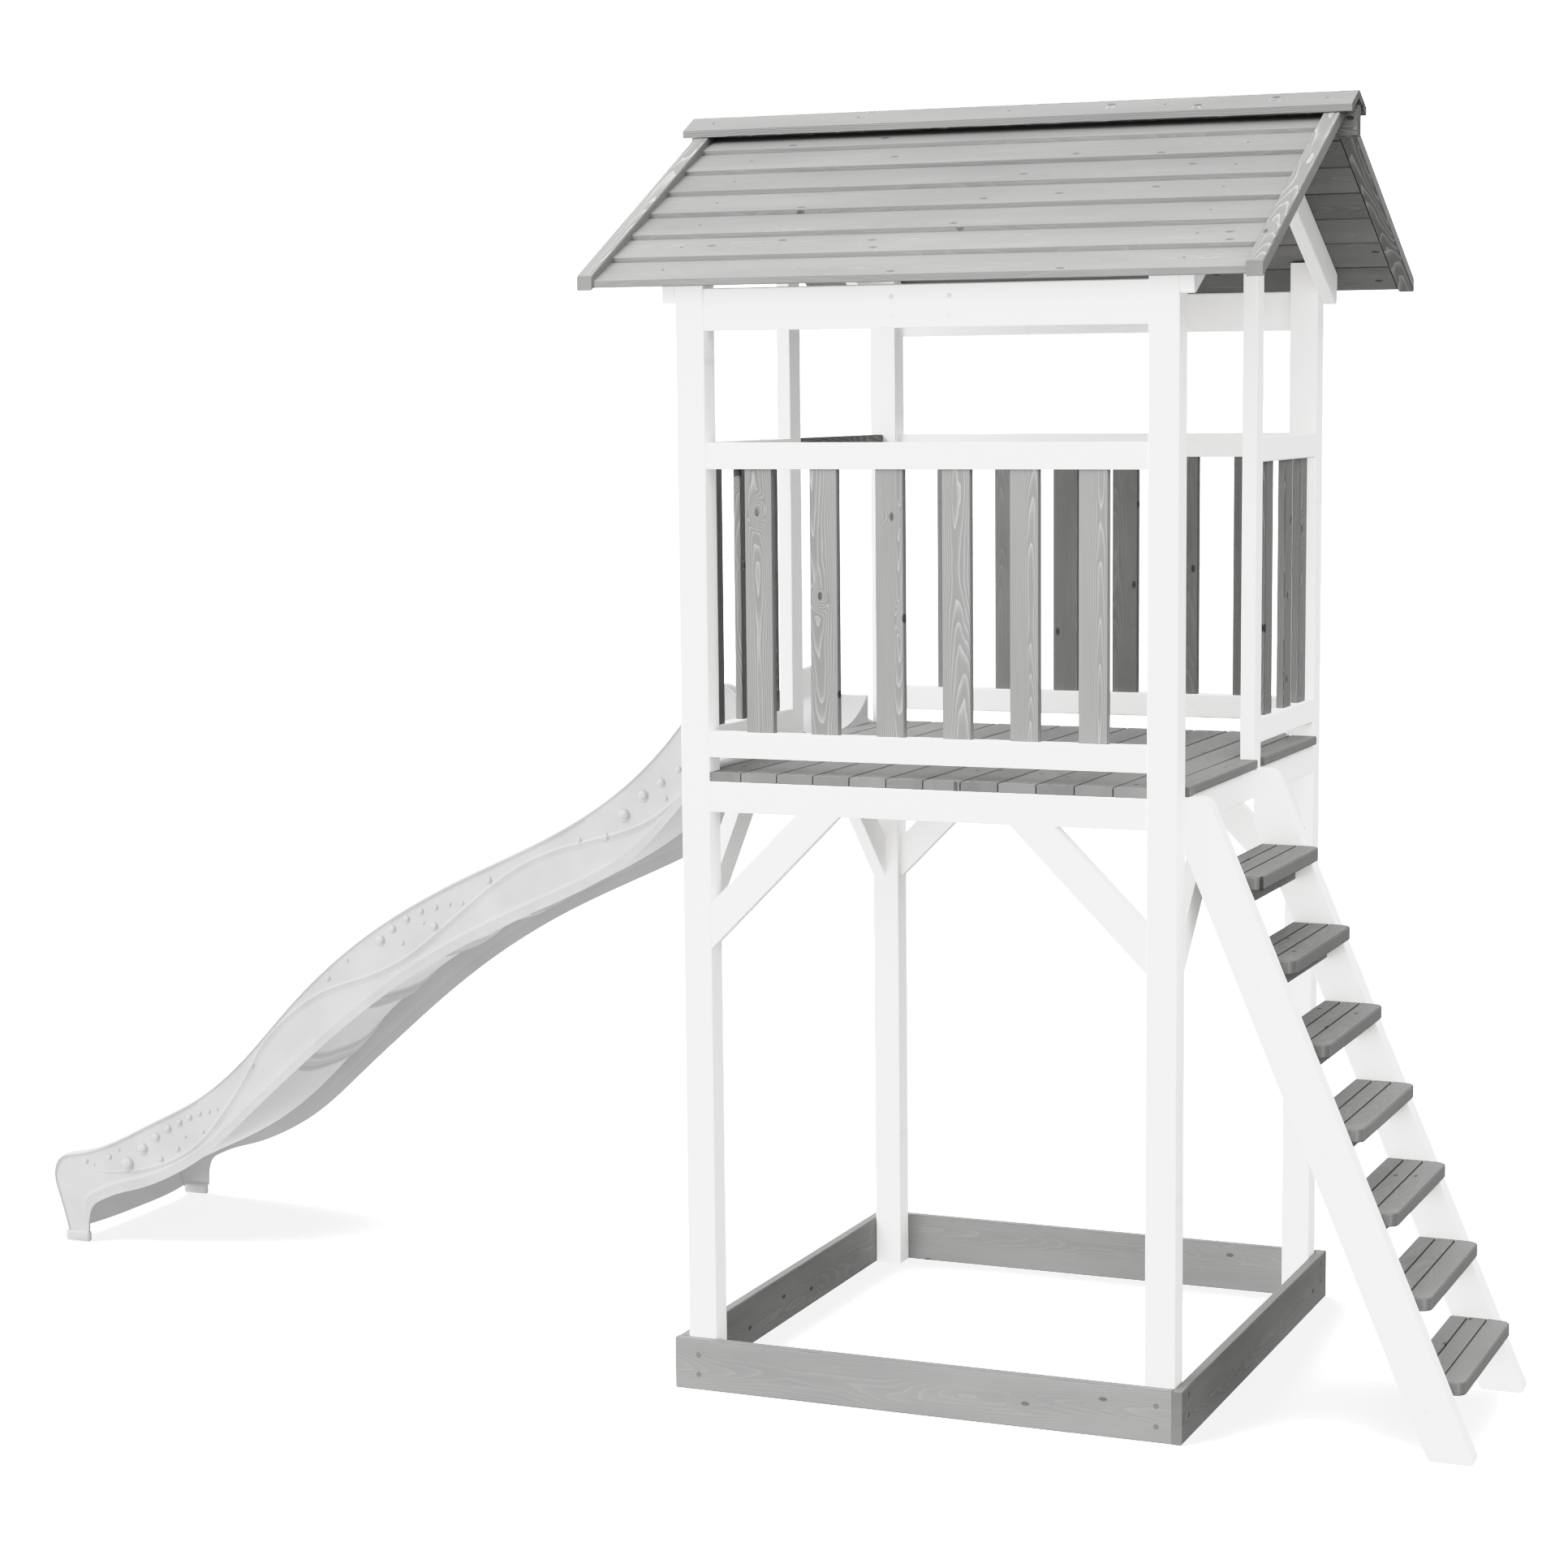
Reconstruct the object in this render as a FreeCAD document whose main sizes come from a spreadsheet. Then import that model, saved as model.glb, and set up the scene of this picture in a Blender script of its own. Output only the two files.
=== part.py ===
import FreeCAD, Part
import math
import os
import Sketcher
from FreeCAD import Rotation, Vector

# Wooden play tower: a deck on four posts under a gable roof, with railings, a sandpit frame,
# a ladder on the right (+X) and a moulded slide on the left (-X).  Millimetres, +Z up.
# The origin is on the ground, midway between the slide's end and the ladder's foot.

doc = FreeCAD.newDocument("play_tower")
sheet = doc.addObject("Spreadsheet::Sheet", "sizes")

SIZES = {
    # tower frame, outside of the posts
    "tower_x": (636.8, "tower centre from the origin along X"),
    "tower_width": (958, "outside of the posts along X"),
    "tower_depth": (1024, "outside of the posts along Y"),
    "post_wide": (56, "corner post along X"),
    "post_thick": (52, "corner post along Y"),
    "board_thick": (28, "rails, beams, braces and door posts"),
    "edge_round": (3, "eased long edges of the timber"),
    "end_round": (9, "rounded corners at the ends of sloping timbers"),
    "recess": (3, "front and back rails behind the post faces"),
    "fit": (1, "clearance round a notch"),
    # heights
    "deck_top": (1180, "walking surface"),
    "deck_thick": (17, "deck board"),
    "beam_tall": (57, "deck beam"),
    "rail_tall": (48, "handrails and lower rails"),
    "lower_rail_z": (1208, "underside of the lower rails"),
    "handrail_z": (1741, "underside of the handrails"),
    "top_beam_z": (1993, "underside of the top beams"),
    "top_beam_tall": (77, "front and back top beams"),
    # railings
    "door_post_wide": (48, "ladder doorway's post along Y"),
    "slide_post_wide": (55, "slide doorway's post along Y"),
    "door_post_off": (4, "ladder doorway's post from the tower's middle"),
    "slide_post_y": (-41, "front of the slide doorway's post"),
    "door_post_top": (2338, "top of the door posts"),
    "slat_wide": (55, "railing slat"),
    "slat_thick": (16, "railing slat"),
    "slat_back": (6, "slats behind the faces of their rails"),
    "slat_pitch": (128.5, "front and back slats"),
    "slat_shift": (8, "back slats from the middle of their railing"),
    # deck
    "deck_pitch": (72, "deck boards, centre to centre"),
    "deck_gap": (2, "between deck boards"),
    "deck_lip": (7, "deck past the side posts"),
    "deck_inset": (4, "deck ends behind the front and back post faces"),
    # knee braces
    "brace_reach": (258, "long leg of a brace from its corner"),
    "brace_foot": (85, "mitred end of a brace"),
    "cap_in": (95, "bolt cap from the inner face of its post"),
    "cap_drop": (100, "bolt cap below the deck beams"),
    "cap_round": (9, "dome cap radius"),
    # roof
    "roof_rise": (0.535, "rise of the roof for each mm towards the ridge"),
    "roof_under": (2378, "roof underside where the two slopes meet"),
    "post_clear": (6, "post tops below the roof boards"),
    "eave": (575, "roof boards' lower edge from the middle"),
    "roof_half": (614, "half-length of the roof boards"),
    "course_gap": (1.5, "between roof boards"),
    "course_thick": (15, "roof board at its lower edge"),
    "course_thin": (8, "roof board at its upper edge"),
    "rafter_tall": (66, "rafter, plumb height"),
    "rafter_thick": (27, "rafter along X"),
    "verge_wide": (32, "verge batten along X"),
    "verge_tall": (27, "verge batten, plumb height"),
    "verge_end": (580, "verge batten's lower end from the middle"),
    "ridge_half": (668, "half-length of the ridge board and cap"),
    "ridge_under": (2335, "ridge board underside"),
    "cap_reach": (57, "cap board's lower edge from the middle"),
    "cap_tall": (16, "cap board, plumb height"),
    # sandpit
    "pit_tall": (98, "sandpit board"),
    "pit_thick": (20, "sandpit board"),
    # ladder
    "ladder_lean": (0.4235, "ladder's run for each mm of drop"),
    "stringer_thick": (38, "stringer along Y"),
    "stringer_wide": (84, "stringer along X, level"),
    "stringer_foot": (927, "back of the stringer's foot from the tower's middle"),
    "stringer_top": (1162, "stringer's top"),
    "stringer_y": (-460, "outside of the front stringer"),
    "stringer_round": (26, "rounded front corner at the stringer's top"),
    "tread_long": (425, "tread between the stringers"),
    "tread_rise": (147.2, "tread to tread"),
    "tread_first": (137, "top of the lowest tread"),
    "tread_nose": (983, "front of the lowest tread"),
    "tread_deep": (116, "tread along X"),
    "tread_thick": (26, "tread"),
    "tread_corner": (20, "rounded front corners of a tread, seen from above"),
    "tread_edge": (4, "eased long edges of a tread"),
    "groove": (4, "groove in a tread, width and depth"),
    "groove_back": (44, "first groove behind the tread's nose"),
    "groove_pitch": (37, "between the two grooves of a tread"),
    "batten_tall": (40, "batten under a tread"),
    "batten_thick": (22, "batten under a tread"),
    "batten_back": (48, "batten behind the tread's nose"),
    # slide
    "slide_y": (-9, "outside of the slide's front skirt"),
    "slide_wide": (491, "slide over both skirts"),
    "shell": (5, "wall of the slide"),
    "rim_wide": (34, "rim between skirt and inner wall"),
    # fasteners
    "screw_core": (2, "screw shank radius"),
    "screw_head": (4.5, "screw head radius"),
    "screw_long": (45, "screw length"),
    "head_deep": (2.5, "screw head thickness"),
    "play": (0.3, "clearance round a screw"),
    "pit_screw_z": (30, "lower screw of a sandpit joint"),
    "pit_screw_rise": (38, "between the two screws of a sandpit joint"),
    "pit_screw_side": (14, "side boards' screws above the front ones"),
    "beam_screw_x": (55, "top beam screws from the tower's middle"),
    "beam_screw_z": (21, "lower screws above the top beam's underside"),
    "beam_screw_rise": (34, "between the two rows of top beam screws"),
}

for row, (alias, (value, note)) in enumerate(SIZES.items(), start=1):
    sheet.set(f"A{row}", alias)
    sheet.set(f"B{row}", str(value))
    sheet.set(f"C{row}", note)
    sheet.setAlias(f"B{row}", alias)
doc.recompute()

NODES = {}


def size(alias):
    """One driving dimension, read from the sheet."""
    return float(sheet.get(alias))


def bind(obj, prop, expression):
    """Bind a property to an expression in which a bare word is a cell of the sheet."""
    words = sorted(SIZES, key=len, reverse=True)
    text = str(expression)
    for index, word in enumerate(words):
        text = text.replace(word, f"<{index}>")
    for index, word in enumerate(words):
        text = text.replace(f"<{index}>", f"sizes.{word}")
    obj.setExpression(prop, text)


def place(obj, at):
    """Put an object at (x, y, z) expressions, x measured from the tower's middle."""
    bind(obj, ".Placement.Base.x", f"tower_x + ({at[0]})")
    bind(obj, ".Placement.Base.y", at[1])
    bind(obj, ".Placement.Base.z", at[2])


def node(label, obj):
    """Name an object as one of the pieces that are written out."""
    obj.Label = label
    NODES[label] = obj
    return obj


def group(label, pieces):
    """Several like pieces, each a solid of its own, in one node."""
    compound = doc.addObject("Part::Compound", label)
    compound.Links = pieces
    return node(label, compound)


def long_edges(shape, shortest):
    """Names of the straight edges at least as long as asked."""
    return [f"Edge{i}" for i, edge in enumerate(shape.Edges, start=1) if edge.Length >= shortest]


def ease(body, feature, edges, radius="edge_round"):
    """Round some edges of a body's last feature."""
    rounding = body.newObject("PartDesign::Fillet", "Fillet")
    rounding.Base = (feature, edges)
    bind(rounding, "Radius", radius)
    return rounding


def board(name, spans, at):
    """A straight timber with eased long edges: spans and at are (x, y, z) expressions."""
    body = doc.addObject("PartDesign::Body", name)
    block = body.newObject("PartDesign::AdditiveBox", "Block")
    for prop, span in zip(("Length", "Width", "Height"), spans):
        bind(block, prop, span)
    place(body, at)
    doc.recompute()
    longest = max(edge.Length for edge in block.Shape.Edges)
    ease(body, block, long_edges(block.Shape, 0.99 * longest))
    return body


def outline(name, corners, thick, plane, at, rounded=()):
    """A board cut to an outline: corners are pairs of expressions in an origin plane.

    rounded lists (corner number, radius) for corners rounded within the outline.
    """
    body = doc.addObject("PartDesign::Body", name)
    sketch = body.newObject("Sketcher::SketchObject", "Outline")
    origin = next(f for f in body.Origin.OriginFeatures if f.Role == plane)
    sketch.AttachmentSupport = [(origin, "")]
    sketch.MapMode = "FlatFace"
    count = len(corners)
    seeds = [Vector(math.cos(6.3 * i / count) * 50 + 90, math.sin(6.3 * i / count) * 50 + 90, 0)
             for i in range(count)]
    for i in range(count):
        sketch.addGeometry(Part.LineSegment(seeds[i], seeds[(i + 1) % count]), False)
    for i in range(count):
        sketch.addConstraint(Sketcher.Constraint("Coincident", i, 2, (i + 1) % count, 1))
    for i, (across, up) in enumerate(corners):
        for axis, value, seed in (("X", across, seeds[i].x), ("Y", up, seeds[i].y)):
            number = sketch.addConstraint(Sketcher.Constraint("Distance" + axis, -1, 1, i, 1, seed))
            sketch.renameConstraint(number, f"corner{i}{axis.lower()}")
            bind(sketch, f"Constraints.corner{i}{axis.lower()}", value)
    pad = body.newObject("PartDesign::Pad", "Pad")
    pad.Profile = sketch
    bind(pad, "Length", thick)
    place(body, at)
    doc.recompute()
    feature = pad
    for corner, radius in rounded:
        point = sketch.Geometry[corner].StartPoint
        feature = round_corner(body, feature, point, plane, radius)
    longest = max(edge.Length for edge in pad.Shape.Edges)
    ease(body, feature, long_edges(feature.Shape, 0.8 * longest))
    return body


def round_corner(body, feature, point, plane, radius):
    """Round the edge that stands on one corner of an outline."""
    spot = Vector(point.x, 0, point.y) if plane == "XZ_Plane" else Vector(0, point.x, point.y)
    across = Vector(0, 1, 0) if plane == "XZ_Plane" else Vector(1, 0, 0)
    for number, edge in enumerate(feature.Shape.Edges, start=1):
        first = edge.Vertexes[0].Point
        last = edge.Vertexes[-1].Point
        level = (first - last).cross(across).Length < 0.01
        if level and (first - spot).cross(across).Length < 0.01:
            rounding = ease(body, feature, [f"Edge{number}"], radius)
            doc.recompute()
            return rounding
    raise ValueError("no edge stands on that corner")


def cut(name, base, tools):
    """A piece with some tools' shapes taken out of it."""
    joined = doc.addObject("Part::Compound", name + "_tools")
    joined.Links = tools
    result = doc.addObject("Part::Cut", name)
    result.Base = base
    result.Tool = joined
    return result


def block(name, spans, at):
    """A plain box used as a cutting tool."""
    box = doc.addObject("Part::Box", name)
    for prop, span in zip(("Length", "Width", "Height"), spans):
        bind(box, prop, span)
    place(box, at)
    return box


TURNS = {"x": Rotation(Vector(0, 1, 0), 90), "-x": Rotation(Vector(0, 1, 0), -90),
         "y": Rotation(Vector(1, 0, 0), -90), "-y": Rotation(Vector(1, 0, 0), 90)}


def rod(name, radius, long, at, way):
    """A cylinder from a point along one of the level axes."""
    cylinder = doc.addObject("Part::Cylinder", name)
    bind(cylinder, "Radius", radius)
    bind(cylinder, "Height", long)
    cylinder.Placement.Rotation = TURNS[way]
    place(cylinder, at)
    return cylinder


def screw(name, at, way):
    """A countersunk screw driven from a surface point along an axis, and the hole it sits in."""
    pair = []
    for suffix, slack in (("", ""), ("_hole", " + play")):
        head = rod(name + suffix + "_head", "screw_head" + slack, "head_deep", at, way)
        shank = rod(name + suffix + "_shank", "screw_core" + slack, "screw_long" + slack, at, way)
        joined = doc.addObject("Part::Fuse", name + suffix)
        joined.Base = head
        joined.Tool = shank
        pair.append(joined)
    return pair


SIDES = {"left": -1, "right": 1}
ENDS = {"front": -1, "back": 1}

# each door post's front face and its width along Y
DOOR_POST = {"left": ("slide_post_y", "slide_post_wide"), "right": ("door_post_off", "door_post_wide")}


def low(sign, outer, thick):
    """Lower coordinate of a board whose outer face is sign * outer."""
    return f"-({outer})" if sign < 0 else f"({outer}) - ({thick})"


def build_sandpit():
    """Four boards round the posts' feet, each held by two screws a post."""
    pieces = {}
    run = "tower_width + pit_thick"
    for end, sign in ENDS.items():
        y = low(sign, "tower_depth / 2 + pit_thick", "pit_thick")
        pieces[end] = board(f"pit_{end}", (run, "pit_thick", "pit_tall"),
                            ("-tower_width / 2 - pit_thick", y, 0))
    left_x = "-tower_width / 2 - pit_thick"
    pieces["left"] = board("pit_left", ("pit_thick", "tower_depth", "pit_tall"),
                           (left_x, "-tower_depth / 2", 0))
    pieces["right"] = board("pit_right", ("pit_thick", "tower_depth + 2 * pit_thick", "pit_tall"),
                            ("tower_width / 2", "-tower_depth / 2 - pit_thick", 0))
    screws = []
    holes = {name: [] for name in pieces}
    post_holes = {}
    for side, sx in SIDES.items():
        for end, sy in ENDS.items():
            post_holes[end, side] = []
            for level in range(2):
                height = f"pit_screw_z + {level} * pit_screw_rise"
                face_at = (f"{sx} * (tower_width / 2 - post_wide / 2)",
                           f"{sy} * (tower_depth / 2 + pit_thick)", height)
                flank_at = (f"{sx} * (tower_width / 2 + pit_thick)",
                            f"{sy} * (tower_depth / 2 - post_thick / 2)", height + " + pit_screw_side")
                ways = ((end, face_at, "y" if sy < 0 else "-y"),
                        (side, flank_at, "x" if sx < 0 else "-x"))
                for wall, at, way in ways:
                    name = f"pit_screw_{wall}_{end}_{side}_{level}"
                    made, hole = screw(name, at, way)
                    screws.append(made)
                    holes[wall].append(hole)
                    post_holes[end, side].append(hole)
    for wall, piece in pieces.items():
        node(f"sandpit_board_{wall}", cut(f"sandpit_{wall}", piece, holes[wall]))
    group("sandpit_screws", screws)
    return post_holes


def build_posts(post_holes):
    """Four corner posts whose tops follow the roof, and two thinner door posts."""
    inner = "tower_depth / 2 - post_thick"
    outer = "tower_depth / 2"
    for side, sx in SIDES.items():
        for end, sy in ENDS.items():
            clear = "roof_under - post_clear - roof_rise *"
            corners = [(f"{sy} * ({outer})", 0), (f"{sy} * ({inner})", 0),
                       (f"{sy} * ({inner})", f"{clear} ({inner})"),
                       (f"{sy} * ({outer})", f"{clear} ({outer})")]
            at = (low(sx, "tower_width / 2", "post_wide"), 0, 0)
            post = outline(f"post_{end}_{side}_blank", corners, "post_wide", "YZ_Plane", at)
            node(f"post_{end}_{side}", cut(f"post_{end}_{side}", post, post_holes[end, side]))
    for side, sx in SIDES.items():
        foot = "deck_top - deck_thick"
        y, wide = DOOR_POST[side]
        spans = ("board_thick", wide, f"door_post_top - ({foot})")
        at = (low(sx, "tower_width / 2", "board_thick"), y, foot)
        node(f"door_post_{side}", board(f"door_post_{side}", spans, at))


def crossing(name, tall, z, end):
    """A timber between the two posts of the front or the back."""
    span = "tower_width - 2 * post_wide"
    y = low(ENDS[end], "tower_depth / 2 - recess", "board_thick")
    return board(name, (span, "board_thick", tall), ("-tower_width / 2 + post_wide", y, z))


def build_frame():
    """Deck beams, the deck joist, rails and top beams."""
    beam_z = "deck_top - deck_thick - beam_tall"
    inner_y = "tower_depth / 2 - post_thick"
    rails = (("lower_rail", "lower_rail_z"), ("handrail", "handrail_z"))
    screws = []
    for end, sy in ENDS.items():
        node(f"deck_beam_{end}", crossing(f"deck_beam_{end}", "beam_tall", beam_z, end))
        for name, z in rails:
            node(f"{name}_{end}", crossing(f"{name}_{end}", "rail_tall", z, end))
        beam = crossing(f"top_beam_{end}_blank", "top_beam_tall", "top_beam_z", end)
        holes = []
        for side, sx in SIDES.items():
            for level in range(2):
                at = (f"{sx} * beam_screw_x", f"{sy} * (tower_depth / 2 - recess)",
                      f"top_beam_z + beam_screw_z + {level} * beam_screw_rise")
                made, hole = screw(f"beam_screw_{end}_{side}_{level}", at, "y" if sy < 0 else "-y")
                bind(made.Tool, "Height", "board_thick - 2")
                screws.append(made)
                holes.append(hole)
        node(f"top_beam_{end}", cut(f"top_beam_{end}", beam, holes))
    for side, sx in SIDES.items():
        x = low(sx, "tower_width / 2", "board_thick")
        beam = board(f"deck_beam_{side}", ("board_thick", f"2 * ({inner_y})", "beam_tall"),
                     (x, f"-({inner_y})", beam_z))
        node(f"deck_beam_{side}", beam)
        post_y, post_wide = DOOR_POST[side]
        y = f"{post_y} + {post_wide}" if sx > 0 else f"-({inner_y})"
        run = f"{inner_y} - ({y})" if sx > 0 else f"{inner_y} + {post_y}"
        for name, z in rails:
            rail = board(f"{name}_{side}", ("board_thick", run, "rail_tall"), (x, y, z))
            node(f"{name}_{side}", rail)
    joist = board("deck_joist", ("tower_width - 2 * board_thick", "board_thick", "beam_tall"),
                  ("-tower_width / 2 + board_thick", "-board_thick / 2", beam_z))
    node("deck_joist", joist)
    post_back = "slide_post_y + slide_post_wide"
    bar = board("slide_door_bar", ("board_thick", f"{inner_y} - ({post_back})", "rail_tall"),
                ("-tower_width / 2", post_back, "handrail_z"))
    node("slide_door_bar", bar)
    return screws


def build_slats():
    """Upright slats between the lower rail and the handrail."""
    foot = "lower_rail_z + rail_tall"
    tall = f"handrail_z - ({foot})"
    for end, sy in ENDS.items():
        y = low(sy, "tower_depth / 2 - recess - slat_back", "slat_thick")
        shift = "slat_shift" if sy > 0 else "0"
        slats = [board(f"slat_{end}_{i}", ("slat_wide", "slat_thick", tall),
                       (f"({i} - 2.5) * slat_pitch + {shift} - slat_wide / 2", y, foot)) for i in range(6)]
        group(f"slats_{end}", slats)
    # slat centres from the tower's middle, as set out on each short railing
    middles = {"left": (-385, -246, -119), "right": (126, 273, 387)}
    for side, sx in SIDES.items():
        x = low(sx, "tower_width / 2 - slat_back", "slat_thick")
        slats = [board(f"slat_{side}_{i}", ("slat_thick", "slat_wide", tall),
                       (x, f"{middle} - slat_wide / 2", foot)) for i, middle in enumerate(middles[side])]
        group(f"slats_{side}", slats)


def build_deck():
    """Deck boards from front to back; the outer ones are notched round the posts."""
    z = "deck_top - deck_thick"
    reach = "tower_depth / 2 - deck_inset"
    through = "3 * deck_thick"
    notch_z = f"{z} - deck_thick"
    boards = []
    for i in range(-6, 6):
        plank = board(f"deck_{i + 6}", ("deck_pitch - deck_gap", f"2 * ({reach})", "deck_thick"),
                      (f"{i} * deck_pitch + deck_gap / 2", f"-({reach})", z))
        if i in (-6, 5):
            sign = -1 if i < 0 else 1
            x = low(sign, "tower_width / 2", "post_wide + fit")
            notches = [block(f"deck_{i + 6}_notch_{end}", ("post_wide + fit", "post_thick + fit", through),
                             (x, low(sy, "tower_depth / 2", "post_thick + fit"), notch_z))
                       for end, sy in ENDS.items()]
            plank = cut(f"deck_{i + 6}_notched", plank, notches)
        boards.append(plank)
    inner_y = "tower_depth / 2 - post_thick - fit"
    wide = "tower_width / 2 + deck_lip - 6 * deck_pitch - deck_gap / 2"
    for side, sx in SIDES.items():
        plank = board(f"deck_{side}", (wide, f"2 * ({inner_y})", "deck_thick"),
                      (low(sx, "tower_width / 2 + deck_lip", wide), f"-({inner_y})", z))
        post_y, post_wide = DOOR_POST[side]
        x = low(sx, "tower_width / 2 + 2 * deck_lip", "board_thick + 2 * deck_lip + fit")
        notch = block(f"deck_{side}_notch", ("board_thick + 2 * deck_lip + fit",
                                             f"{post_wide} + 2 * fit", through),
                      (x, f"{post_y} - fit", notch_z))
        boards.append(cut(f"deck_{side}_notched", plank, [notch]))
    group("deck_boards", boards)


def build_braces():
    """Eight mitred knee braces under the deck, two in each side of the frame."""
    beam_z = "deck_top - deck_thick - beam_tall"
    legs = (("0", "-brace_reach"), ("0", "brace_foot - brace_reach"),
            ("brace_reach - brace_foot", "0"), ("brace_reach", "0"))
    inner_x = "tower_width / 2 - post_wide"
    inner_y = "tower_depth / 2 - post_thick"
    for side, sx in SIDES.items():
        for end, sy in ENDS.items():
            across = [(f"{-sx} * ({a}) + {sx} * ({inner_x})", f"{up} + {beam_z}") for a, up in legs]
            y = low(sy, "tower_depth / 2 - recess", "board_thick")
            level = outline(f"brace_x_{end}_{side}", across, "board_thick", "XZ_Plane",
                            (0, f"{y} + board_thick", 0))
            node(f"knee_brace_{end}_{side}", level)
            along = [(f"{-sy} * ({a}) + {sy} * ({inner_y})", f"{up} + {beam_z}") for a, up in legs]
            x = low(sx, "tower_width / 2", "board_thick")
            flank = outline(f"brace_y_{side}_{end}", along, "board_thick", "YZ_Plane", (x, 0, 0))
            node(f"knee_brace_{side}_{end}", flank)


def slope_z(y, lift=0):
    """Height of the roof's underside at a distance from the ridge, plus a lift."""
    return f"roof_under - roof_rise * ({y}) + ({lift})"


def build_roof():
    """Rafters outside the posts, bevelled boards, verge battens, ridge board and cap."""
    ridge_y = "board_thick / 2"
    tip = "tower_depth / 2"
    node("ridge_board", board("ridge_board", ("2 * ridge_half", "board_thick", "beam_tall"),
                              ("-ridge_half", f"-{ridge_y}", "ridge_under")))
    for end, sy in ENDS.items():
        for side, sx in SIDES.items():
            corners = [(f"{sy} * {ridge_y}", slope_z(ridge_y)), (f"{sy} * {tip}", slope_z(tip)),
                       (f"{sy} * {tip}", slope_z(tip, "-rafter_tall")),
                       (f"{sy} * {ridge_y}", slope_z(ridge_y, "-rafter_tall"))]
            x = low(sx, "tower_width / 2 + rafter_thick", "rafter_thick")
            rafter = outline(f"rafter_{side}_{end}", corners, "rafter_thick", "YZ_Plane", (x, 0, 0),
                             rounded=((2, "end_round"),))
            node(f"rafter_{side}_{end}", rafter)
            corners = [(f"{sy} * {ridge_y}", slope_z(ridge_y, "verge_tall")),
                       (f"{sy} * verge_end", slope_z("verge_end", "verge_tall")),
                       (f"{sy} * verge_end", slope_z("verge_end")),
                       (f"{sy} * {ridge_y}", slope_z(ridge_y))]
            x = low(sx, "roof_half + verge_wide", "verge_wide")
            verge = outline(f"verge_{side}_{end}", corners, "verge_wide", "YZ_Plane", (x, 0, 0),
                            rounded=((1, "end_round"),))
            node(f"verge_batten_{side}_{end}", verge)
        group(f"roof_boards_{end}", [roof_board(end, sy, course) for course in range(7)])
        corners = [("0", slope_z("0", "verge_tall")), ("0", slope_z("0", "verge_tall + cap_tall")),
                   (f"{sy} * cap_reach", slope_z("cap_reach", "verge_tall + cap_tall")),
                   (f"{sy} * cap_reach", slope_z("cap_reach", "verge_tall"))]
        node(f"ridge_cap_{end}", outline(f"ridge_cap_{end}", corners, "2 * ridge_half", "YZ_Plane",
                                         ("-ridge_half", 0, 0)))


def roof_board(end, sign, course):
    """One bevelled board: thick lower edge, thin upper edge, flat underside."""
    course_run = "eave / 7"
    lower = f"eave - {course} * {course_run}"
    upper = f"eave - {course + 1} * {course_run} + course_gap"
    if course == 6:
        upper = "board_thick / 2 + 1"
    corners = [(f"{sign} * ({lower})", slope_z(lower)), (f"{sign} * ({upper})", slope_z(upper)),
               (f"{sign} * ({upper})", slope_z(upper, "course_thin")),
               (f"{sign} * ({lower})", slope_z(lower, "course_thick"))]
    return outline(f"roof_{end}_{course}", corners, "2 * roof_half", "YZ_Plane", ("-roof_half", 0, 0))


def build_ladder(screws):
    """Two stringers against the deck beam, seven grooved treads and their battens."""
    back_z = "(stringer_foot - tower_width / 2) / ladder_lean"
    corners = [("stringer_foot", "0"), ("stringer_foot + stringer_wide", "0"),
               ("stringer_foot + stringer_wide - ladder_lean * stringer_top", "stringer_top"),
               ("tower_width / 2", "stringer_top"), ("tower_width / 2", back_z)]
    inner = "stringer_y + stringer_thick"
    treads = []
    battens = []
    holes = {"front": [], "back": []}
    for i in range(7):
        nose = f"tread_nose - {i} * tread_rise * ladder_lean"
        top = f"tread_first + {i} * tread_rise"
        treads.append(tread(i, nose, top, inner))
        batten = board(f"batten_{i}", ("batten_thick", "tread_long", "batten_tall"),
                       (f"{nose} - batten_back - batten_thick", inner,
                        f"{top} - tread_thick - batten_tall"))
        ends = (("front", "stringer_y", "y"), ("back", f"{inner} + tread_long + stringer_thick", "-y"))
        bores = []
        for end, y, way in ends:
            at = (f"{nose} - batten_back - batten_thick / 2", y,
                  f"{top} - tread_thick - batten_tall / 2")
            made, hole = screw(f"ladder_screw_{end}_{i}", at, way)
            for part in (made, hole):
                bind(part.Tool, "Height", "stringer_thick + screw_long / 2")
            screws.append(made)
            holes[end].append(hole)
            bores.append(hole)
        battens.append(cut(f"batten_{i}_drilled", batten, bores))
    for end in ENDS:
        y = "stringer_y" if end == "front" else f"{inner} + tread_long"
        stringer = outline(f"stringer_{end}", corners, "stringer_thick", "XZ_Plane",
                           (0, f"{y} + stringer_thick", 0),
                           rounded=((0, "end_round"), (1, "end_round"), (2, "stringer_round")))
        node(f"ladder_stringer_{end}", cut(f"ladder_stringer_{end}", stringer, holes[end]))
    group("ladder_treads", treads)
    group("ladder_battens", battens)
    group("frame_screws", screws)


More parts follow.
